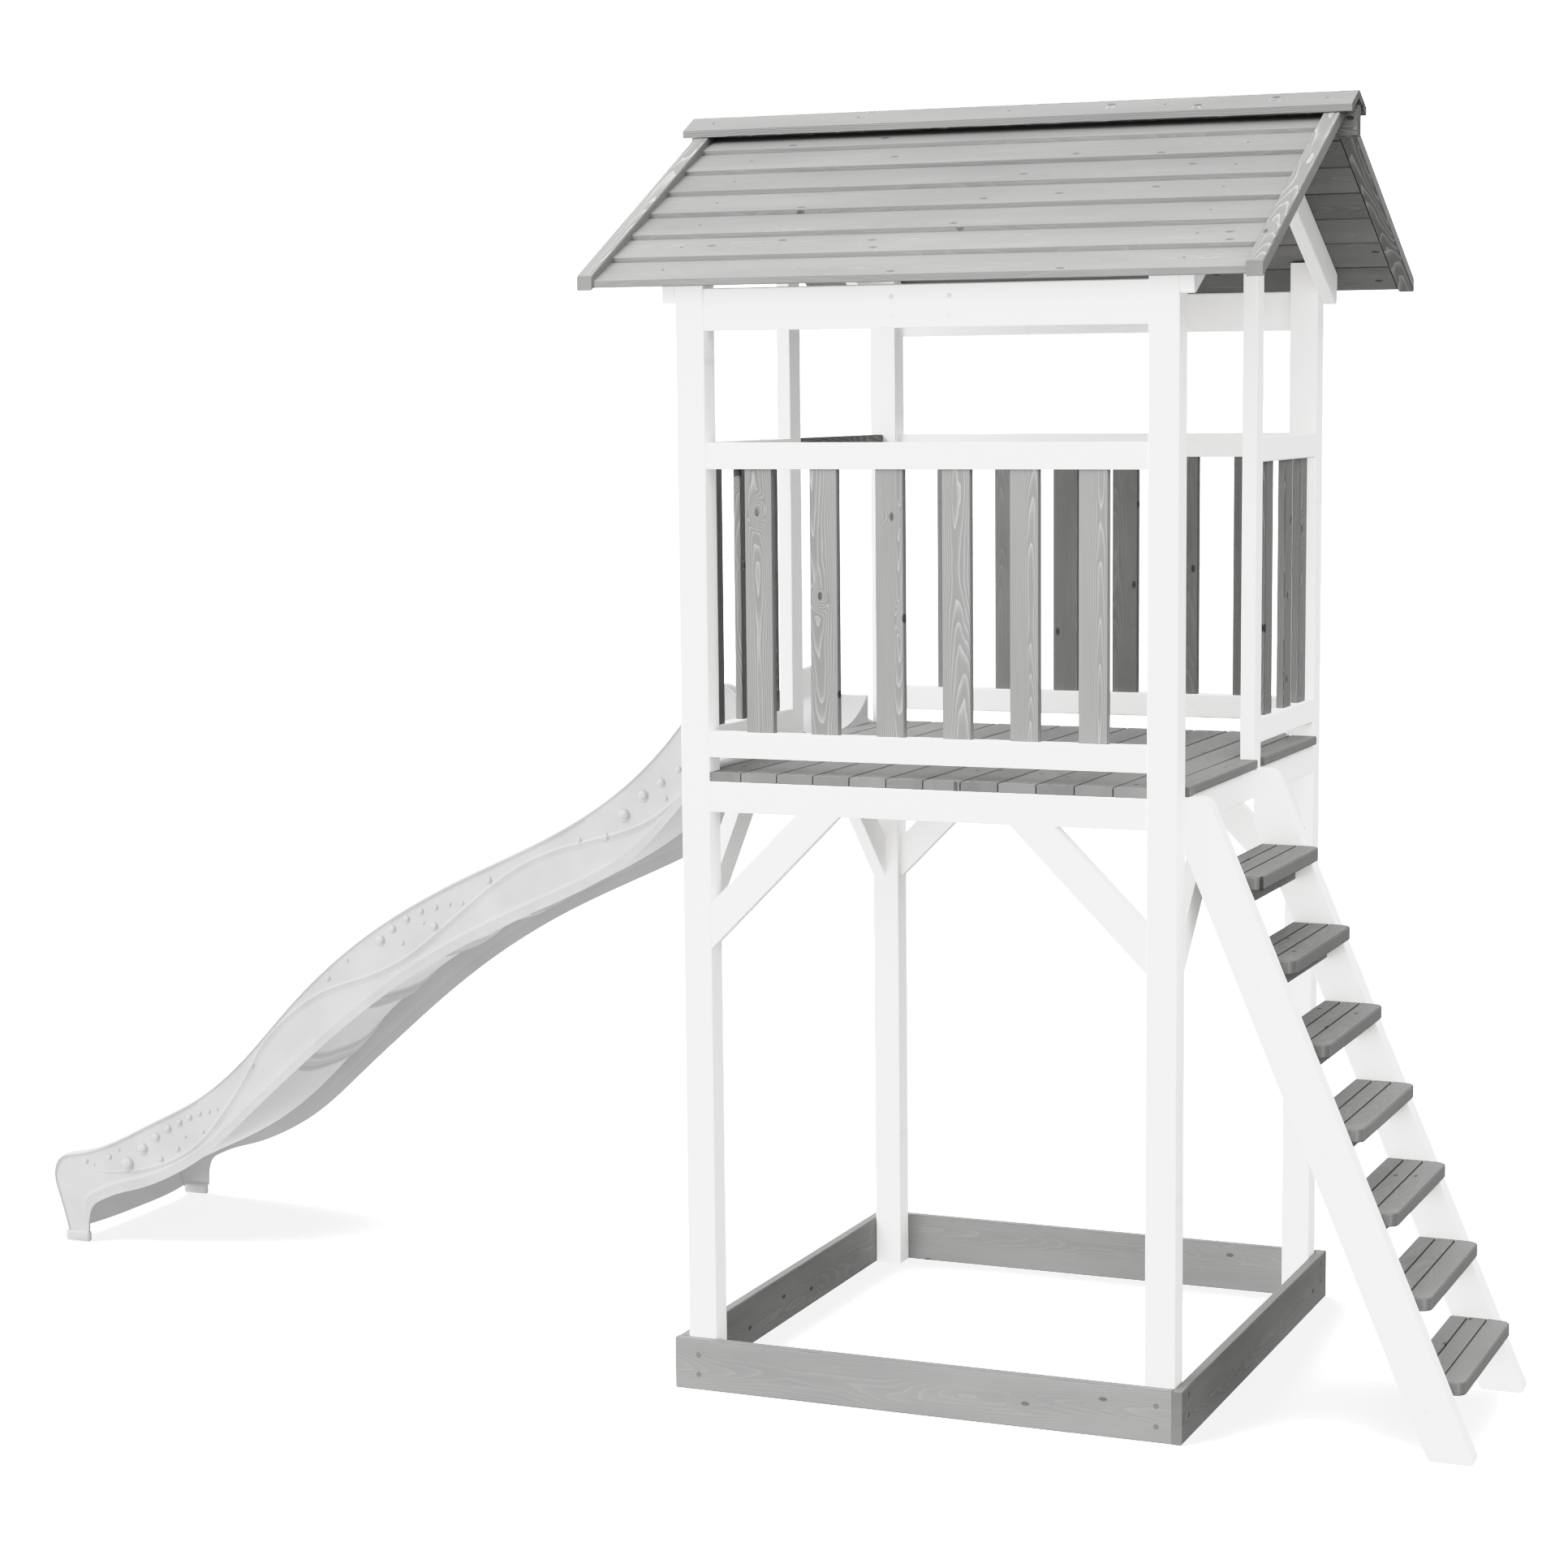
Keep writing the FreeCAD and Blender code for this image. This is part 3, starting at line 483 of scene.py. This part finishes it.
# bubbles moulded on each skirt: x, depth below the rim and radius
BUBBLES = ((-2195, 24, 6), (-2174, 36, 3), (-2132, 31, 6), (-2107, 24, 4), (-2085, 65, 16),
           (-2044, 48, 13), (-2008, 37, 10), (-1976, 31, 9), (-1946, 30, 8), (-1919, 31, 7),
           (-1893, 36, 6), (-1869, 46, 5), (-1847, 55, 4), (-1997, 91, 7), (-1952, 86, 6),
           (-1932, 68, 4), (-1886, 81, 5), (-1755, 33, 8), (-1557, 26, 6), (-1509, 22, 4),
           (-1426, 32, 11), (-1396, 25, 9), (-1361, 23, 8), (-1326, 24, 7), (-1290, 33, 6),
           (-1257, 41, 5), (-1226, 53, 4), (-1295, 71, 9), (-1373, 68, 5), (-1321, 51, 4),
           (-1162, 31, 7), (-949, 44, 6), (-888, 74, 8), (-845, 60, 13), (-802, 55, 12),
           (-760, 68, 9), (-721, 85, 7), (-751, 111, 5))
# a bubble's rings above the skirt, height and radius as shares of its radius, and how far it is
# let into the skirt
DOME = ((0.0, 1.0), (0.26, 0.93), (0.46, 0.72), (0.56, 0.4))
SUNK = 1.5
# the least angle between faces whose edge stays sharp
SHARP = math.radians(40)

SLIDE_LOW, SLIDE_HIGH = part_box("slide")
SLIDE_WIDE = (SLIDE_HIGH.y - SLIDE_LOW.y) * 1000


def spline(rows, pace):
    """A natural cubic spline through rows of numbers, read every pace along the first two."""
    rows = np.array(rows, float)
    spans = np.hypot(*np.diff(rows[:, :2], axis=0).T)
    knots = np.concatenate(([0], np.cumsum(spans)))
    count = len(rows)
    system = np.eye(count)
    right = np.zeros_like(rows)
    for i in range(1, count - 1):
        system[i, i - 1:i + 2] = spans[i - 1], 2 * (spans[i - 1] + spans[i]), spans[i]
        right[i] = 6 * ((rows[i + 1] - rows[i]) / spans[i] - (rows[i] - rows[i - 1]) / spans[i - 1])
    bend = np.linalg.solve(system, right)
    where = np.linspace(0, knots[-1], int(knots[-1] / pace) + 1)
    span_of = np.clip(np.searchsorted(knots, where, "right") - 1, 0, count - 2)
    h = spans[span_of][:, None]
    b = (where - knots[span_of])[:, None] / h
    a = 1 - b
    return (a * rows[span_of] + b * rows[span_of + 1]
            + ((a ** 3 - a) * bend[span_of] + (b ** 3 - b) * bend[span_of + 1]) * h * h / 6)


def slide_lines():
    """Rim, surface and lower edge as (x, z) at every station."""
    rows = [(x, rim, x, bed, x, edge) for x, rim, bed, edge in STRAIGHT]
    rows += [rim + bed + edge for rim, bed, edge in NOSE]
    table = spline(rows, STEP)
    return table[:, 0:2], table[:, 2:4], table[:, 4:6]


def half_section(inset):
    """The slide's section from a skirt's lower edge to the middle of the bed.

    Each point is (y, share of rim, share of surface, share of edge, lift, share of the band's
    height, share of the bed's rise to its walls), with y from the skirt's outside; inset is 0 for
    the outer face and the wall's thickness for the inner one.
    """
    half = (SLIDE_WIDE - 2 * RIM_WIDE) / 2
    face = inset or RELIEF
    lip = inset or -0.6
    band = ((inset, 0), (inset, 0.6), (lip, 0.86), (lip, 0.95), (face * 0.8, 1.1), (face, 1.3))
    points = [(y, 0, 0, 1, 0, height, 0) for y, height in band]
    # the skirt, which drops to meet the rolled rim over its last tenth
    for v in np.linspace(0.35, 1, 7):
        points.append((face, v, 0, 1 - v, -RIM_DROP * max(0, v - 0.9) * 10, 0, 0))
    # the rim, a flattened half round
    reach = RIM_WIDE / 2 - inset
    for turn in np.linspace(0, math.pi, 9)[1:]:
        drop = (RIM_DROP - inset) * math.sin(turn) ** ROLL - RIM_DROP
        across = math.copysign(abs(math.cos(turn)) ** ROLL, math.cos(turn))
        points.append((RIM_WIDE / 2 - reach * across, 1, 0, 0, drop, 0, 0))
    # the inner wall
    for v in (0.35, 0.7, 1):
        points.append((RIM_WIDE - inset, 1 - v, v, 0, (v - 1) * RIM_DROP, 0, v))
    # half of the bed, lowest in the middle
    for s in np.linspace(1, 0, 15)[1:]:
        points.append((RIM_WIDE + half * (1 - s) - inset * s, 0, 1, 0, -inset, 0, s ** 3))
    return points


def slide_sheet(inset, lines):
    """One face of the slide's shell as a grid of points: stations by section points."""
    rim, bed, edge = lines
    up = rim - edge
    up /= np.linalg.norm(up, axis=1)[:, None]
    on_leg = np.clip((edge[:, 1] - BAND_GONE) / BAND_FADE, 0, 1)
    on_bed = np.clip((bed[:, 0] - BED_GONE) / BED_FADE, 0, 1)
    ribs = np.zeros(len(bed))
    for place in RIB_PLACES:
        for k in (-1, 0, 1):
            away = np.abs(bed[:, 0] - place - k * RIB_PITCH)
            ribs += np.clip(RIB_FLAT - away / RIB_HALF, 0, 1)
    half = half_section(inset)
    mirrored = [(SLIDE_WIDE - y, *rest) for y, *rest in reversed(half[:-1])]
    grid = []
    for y, of_rim, of_bed, of_edge, lift, band, rise in half + mirrored:
        raised = lift + band * BAND * on_leg + rise * BED_RISE * on_bed
        if inset and of_bed == 1:
            raised = raised - RIB_DEEP * ribs
        side = of_rim * rim + of_bed * bed + of_edge * edge + up * raised[:, None]
        grid.append(np.column_stack((side[:, 0], np.full(len(side), y), side[:, 1])))
    return np.stack(grid, axis=1)


def add_grid(shape, grid, flip=False):
    """Grid points and the faces between them."""
    corners = [[shape.verts.new(point) for point in row] for row in grid]
    for first, second in zip(corners, corners[1:]):
        for k in range(len(first) - 1):
            quad = [first[k], first[k + 1], second[k + 1], second[k]]
            shape.faces.new(quad[::-1] if flip else quad)
    return corners


def in_row_frame(points):
    """Points of the slide's drawing, in millimetres, as metres of the row frame."""
    points = np.asarray(points, float) / 1000
    return points + np.array((TOWER_X, SLIDE_LOW.y, 0))


def add_shell(shape, lines):
    """The moulded shell: its two faces, joined along the skirts' edges and at both ends."""
    outer = add_grid(shape, in_row_frame(slide_sheet(0, lines)))
    inner = add_grid(shape, in_row_frame(slide_sheet(WALL, lines)), flip=True)
    for k in (0, -1):
        for one, two, three, four in zip(outer, outer[1:], inner[1:], inner):
            shape.faces.new((one[k], two[k], three[k], four[k]))
        for i in range(len(outer[k]) - 1):
            shape.faces.new((outer[k][i], outer[k][i + 1], inner[k][i + 1], inner[k][i]))


def add_wave(shape, side):
    """A low ridge that follows the wave on one skirt, crisp above and sloping off below."""
    path = spline(WAVE, RIDGE_STEP)
    ahead = np.gradient(path, axis=0)
    ahead /= np.linalg.norm(ahead, axis=1)[:, None]
    across = np.column_stack((-ahead[:, 1], ahead[:, 0]))
    size = np.clip(np.arange(len(path)) / RIDGE_GROWS, RIDGE_LEAST, 1)
    rows = []
    for offset, height in RIDGE:
        place = path + across * (offset * size)[:, None]
        out = RELIEF - np.where(height > 0, height * size, height)
        y = out if side < 0 else SLIDE_WIDE - out
        rows.append(np.column_stack((place[:, 0], y, place[:, 1])))
    ring = add_grid(shape, in_row_frame(np.stack(rows, axis=1)))
    for one, two in zip(ring, ring[1:]):
        shape.faces.new((one[0], two[0], two[-1], one[-1]))
    shape.faces.new(ring[0])
    shape.faces.new(ring[-1])


def add_bubble(shape, centre, radius, side):
    """A shallow dome on one skirt, let a little into it."""
    around = 8 + int(radius)
    levels = [(-SUNK, 1.0)] + [(height * radius, share) for height, share in DOME]
    rings = []
    for depth, share in levels:
        y = RELIEF - depth if side < 0 else SLIDE_WIDE - RELIEF + depth
        turns = np.linspace(0, 2 * math.pi, around, endpoint=False)
        ring = np.column_stack((centre[0] + radius * share * np.cos(turns), np.full(around, y),
                                centre[1] + radius * share * np.sin(turns)))
        rings.append([shape.verts.new(point) for point in in_row_frame(ring)])
    for low, high in zip(rings, rings[1:]):
        for k in range(around):
            shape.faces.new((low[k], low[(k + 1) % around], high[(k + 1) % around], high[k]))
    shape.faces.new(rings[0])
    shape.faces.new(rings[-1])


def add_foot(shape, side):
    """The small rounded pad at the end of a leg."""
    low, high = np.array(PAD_LOW, float), np.array(PAD_HIGH, float)
    if side > 0:
        low[1], high[1] = SLIDE_WIDE - high[1], SLIDE_WIDE - low[1]
    made = bmesh.ops.create_cube(shape, size=1.0)["verts"]
    for vertex in made:
        vertex.co = in_row_frame((low + high) / 2 + np.array(vertex.co) * (high - low))
    edges = list(dict.fromkeys(edge for vertex in made for edge in vertex.link_edges))
    bmesh.ops.bevel(shape, geom=edges, offset=PAD_ROUND, segments=3, profile=0.5, affect="EDGES")


def new_piece(name, shape, material):
    """A finished mesh as a piece of the object."""
    bmesh.ops.recalc_face_normals(shape, faces=shape.faces)
    mesh = bpy.data.meshes.new(name)
    shape.to_mesh(mesh)
    shape.free()
    mesh.polygons.foreach_set("use_smooth", [True] * len(mesh.polygons))
    mesh.set_sharp_from_angle(angle=SHARP)
    mesh.materials.append(material)
    piece = bpy.data.objects.new(name, mesh)
    bpy.context.collection.objects.link(piece)
    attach(piece, "root")
    return piece


def slide_plastic():
    """Milky moulded plastic with a fine peel and faint clouds.

    A faint white emission is painted light that stands for light coming through the shell; it is
    stronger on the faces that look down, painting light into their shade.
    """
    s = Shader("slide_plastic")
    s.bump(s.noise(s.place, 260.0, 3.0), 0.0004, 0.25)
    cloud = s.noise(s.place, 9.0, 5.0)
    facing = s.add("ShaderNodeNewGeometry", {}, "Normal")
    # painted light: the faces that look down get more emission
    under = s.step(s.dot(facing, Z), -0.2, -0.8)
    s.surface.inputs["Emission Color"].default_value = (1, 1, 1, 1)
    s.feed(s.surface.inputs["Emission Strength"], s.math("MULTIPLY_ADD", under, 0.1, 0.09))
    return s.finish(s.tint(s.plus(0.2, s.times(cloud, 0.1)), (1, 1, 0.995)), 0.38)


def build_slide():
    """The moulded slide with its wave, bubbles and feet."""
    lines = slide_lines()
    shape = bmesh.new()
    add_shell(shape, lines)
    rim = lines[0][np.argsort(lines[0][:, 0])]
    for side in (-1, 1):
        add_wave(shape, side)
        add_foot(shape, side)
        for x, below, radius in BUBBLES:
            add_bubble(shape, (x, np.interp(x, rim[:, 0], rim[:, 1]) - below), radius, side)
    piece = new_piece("moulded_slide", shape, slide_plastic())
    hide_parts("slide")


# ---------------------------------------------------------------- studio

# the world's light: the way to its brightest part, its least and greatest strength, and the white
# that the camera sees behind the tower
BRIGHTEST = Vector((-0.6, -0.42, 0.68)).normalized()
DARK, BRIGHT = 0.1, 1.68
BACKDROP = 2.0
# the key light, from the tower's middle
KEY_PLACE = Vector((-3.6, -5.2, 5.6))
KEY_AIM = Vector((0, 0, 1.0))
KEY_SIZE = 3.5
KEY_POWER = 90
FLOOR_RADIUS = 60
FLOOR_GAP = 0.0005
FLOOR_GLOW = 0.45
# the camera, from the tower's middle; its yaw, pitch and roll are in degrees
CAMERA_PLACE = Vector((2.12451, -6.13126, 1.88574))
CAMERA_TURN = (22.667, -7.167, -0.524)
LENS = 76.65
SENSOR = 36.0
SHIFT_X, SHIFT_Y = -0.01582, 0.01576


def build_world():
    """A soft white studio that is brightest from above the front left."""
    world = bpy.data.worlds.new("studio")
    bpy.context.scene.world = world
    world.use_nodes = True
    tree = world.node_tree
    nodes, links = tree.nodes, tree.links
    nodes.clear()
    place = nodes.new("ShaderNodeTexCoord")
    dot = nodes.new("ShaderNodeVectorMath")
    dot.operation = "DOT_PRODUCT"
    dot.inputs[1].default_value = BRIGHTEST
    links.new(place.outputs["Generated"], dot.inputs[0])
    ramp = nodes.new("ShaderNodeMapRange")
    ramp.inputs["From Min"].default_value = -1.0
    ramp.inputs["From Max"].default_value = 1.0
    ramp.inputs["To Min"].default_value = DARK
    ramp.inputs["To Max"].default_value = BRIGHT
    links.new(dot.outputs["Value"], ramp.inputs["Value"])
    soft = nodes.new("ShaderNodeBackground")
    links.new(ramp.outputs[0], soft.inputs["Strength"])
    seen = nodes.new("ShaderNodeBackground")
    seen.inputs["Strength"].default_value = BACKDROP
    path = nodes.new("ShaderNodeLightPath")
    mix = nodes.new("ShaderNodeMixShader")
    links.new(path.outputs["Is Camera Ray"], mix.inputs[0])
    links.new(soft.outputs[0], mix.inputs[1])
    links.new(seen.outputs[0], mix.inputs[2])
    out = nodes.new("ShaderNodeOutputWorld")
    links.new(mix.outputs[0], out.inputs["Surface"])


def build_lights():
    """One large soft key light from the front left, above."""
    light = bpy.data.lights.new("key", "AREA")
    light.shape = "DISK"
    light.size = KEY_SIZE
    light.energy = KEY_POWER
    key = bpy.data.objects.new("key", light)
    key.location = KEY_PLACE + TOWER_X * X
    key.rotation_euler = (KEY_AIM - KEY_PLACE).to_track_quat("-Z", "Y").to_euler()
    bpy.context.collection.objects.link(key)


def build_floor():
    """A wide pale floor that takes soft shadows."""
    mesh = bpy.data.meshes.new("floor")
    shape = bmesh.new()
    bmesh.ops.create_circle(shape, cap_ends=True, segments=96, radius=FLOOR_RADIUS)
    shape.to_mesh(mesh)
    shape.free()
    floor = bpy.data.objects.new("floor", mesh)
    floor.location = (TOWER_X, 0, CAD_BOX[0].z - FLOOR_GAP)
    bpy.context.collection.objects.link(floor)
    s = Shader("floor")
    grain = s.noise(s.place, 3.0, 4.0)
    colour = s.tint(s.plus(0.93, s.times(grain, 0.02)), (1, 1, 1))
    s.glow(FLOOR_GLOW)
    mesh.materials.append(s.finish(colour, 0.9, 0.1))
    floor.visible_diffuse = False
    floor.visible_glossy = False
    floor.visible_transmission = False


def build_camera():
    """A long lens to the front right of the tower, 1.9 m above the floor."""
    data = bpy.data.cameras.new("camera")
    data.sensor_width = SENSOR
    data.lens = LENS
    data.shift_x = SHIFT_X
    data.shift_y = SHIFT_Y
    data.clip_end = 200
    camera = bpy.data.objects.new("camera", data)
    yaw, pitch, roll = map(math.radians, CAMERA_TURN)
    ahead = Vector((-math.sin(yaw) * math.cos(pitch), math.cos(yaw) * math.cos(pitch), math.sin(pitch)))
    level = Vector((math.cos(yaw), math.sin(yaw), 0))
    above = level.cross(ahead)
    right = level * math.cos(roll) + above * math.sin(roll)
    up = above * math.cos(roll) - level * math.sin(roll)
    turn = Matrix((right, up, -ahead)).transposed().to_4x4()
    camera.matrix_world = Matrix.Translation(CAMERA_PLACE + TOWER_X * X) @ turn
    bpy.context.collection.objects.link(camera)
    bpy.context.scene.camera = camera


# a print-like tone curve: deep mid greys and gentle whites
TONES = ((0.03, 0.022), (0.065, 0.088), (0.1, 0.18), (0.16, 0.33), (0.22, 0.44), (0.3, 0.58),
         (0.37, 0.74), (0.45, 0.82), (0.55, 0.868), (0.8, 0.893), (0.93, 0.91))


def set_view():
    """Standard colours under the tone curve."""
    view = bpy.context.scene.view_settings
    view.view_transform = "Standard"
    view.use_curve_mapping = True
    for x, y in TONES:
        view.curve_mapping.curves[3].points.new(x, y)
    view.curve_mapping.update()


# ---------------------------------------------------------------- fasteners

def steel():
    """Dull steel for the sandpit's screws and the nails."""
    s = Shader("steel")
    scratch = s.noise(s.place, 900.0, 2.0)
    s.surface.inputs["Metallic"].default_value = 0.6
    return s.finish(s.tint(s.plus(0.1, s.times(scratch, 0.1)), (1, 1, 1)), 0.45, 0.5)


def painted_steel():
    """Pale screws that hardly show on the white timber."""
    s = Shader("painted_steel")
    scratch = s.noise(s.place, 700.0, 2.0)
    return s.finish(s.tint(s.plus(0.6, s.times(scratch, 0.1)), (1, 1, 1)), 0.5)


def cap_plastic():
    """White moulded caps with a fine peel."""
    s = Shader("cap_plastic")
    peel = s.noise(s.place, 600.0, 2.0)
    s.bump(peel, 0.0002, 0.3)
    return s.finish(s.tint(s.plus(0.8, s.times(peel, 0.04)), (1, 1, 1)), 0.4)


# the nails across a deck board, from its edge, and along a ridge cap board, as shares of its length
DECK_NAILS = (0.016, 0.056)
CAP_NAILS = (0.04, 0.27, 0.5, 0.73, 0.96)
NAIL_HEAD = {"segments": 12, "radius1": 0.0032, "radius2": 0.0022, "depth": 0.0016}
# a height over the whole tower, from which a nail's place is looked for straight down
ABOVE = 4.0


def nail_places():
    """Where the deck, the roof boards and the ridge cap are nailed: node, x and y."""
    rows = [middle(f"deck_beam_{end}").y for end, _ in ENDS]
    for board in range(-DECK_BOARDS // 2, DECK_BOARDS // 2):
        for off in DECK_NAILS:
            yield from (("deck_boards", TOWER_X + board * DECK_PITCH + off, y) for y in rows)
    for end, way in ENDS:
        course = roof_course(end)
        for side, _ in SIDES:
            x = middle(f"rafter_{side}_{end}").x
            for i in range(1, COURSES):
                yield f"roof_boards_{end}", x, way * (i + 0.5) * course
        low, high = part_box(f"ridge_cap_{end}")
        for share in CAP_NAILS:
            yield f"ridge_cap_{end}", low.x + share * (high.x - low.x), (low.y + high.y) / 2


def add_nail(shape, node, x, y):
    """A low nail head on a node's top face at (x, y), square to that face."""
    body = NODES[node]
    inverse = body.matrix_world.inverted()
    start = inverse @ Vector((x, y, ABOVE))
    hit, point, normal, _ = body.ray_cast(start, (inverse.to_3x3() @ -Z).normalized())
    if not hit:
        return
    turn = (body.matrix_world.to_3x3() @ normal).to_track_quat("Z", "Y").to_matrix().to_4x4()
    place = Matrix.Translation(body.matrix_world @ point) @ turn
    bmesh.ops.create_cone(shape, cap_ends=True, matrix=place, **NAIL_HEAD)


def build_fasteners():
    """Finish the screws and the bolt caps, and add the nail heads."""
    bare = steel()
    finish_node("sandpit_screws", bare)
    finish_node("frame_screws", painted_steel())
    finish_node("brace_bolt_caps", cap_plastic())
    shape = bmesh.new()
    for node, x, y in nail_places():
        add_nail(shape, node, x, y)
    new_piece("nail_heads", shape, bare)


build_world()
build_lights()
build_floor()
build_camera()
set_view()
finish_timber()
build_fasteners()
build_slide()
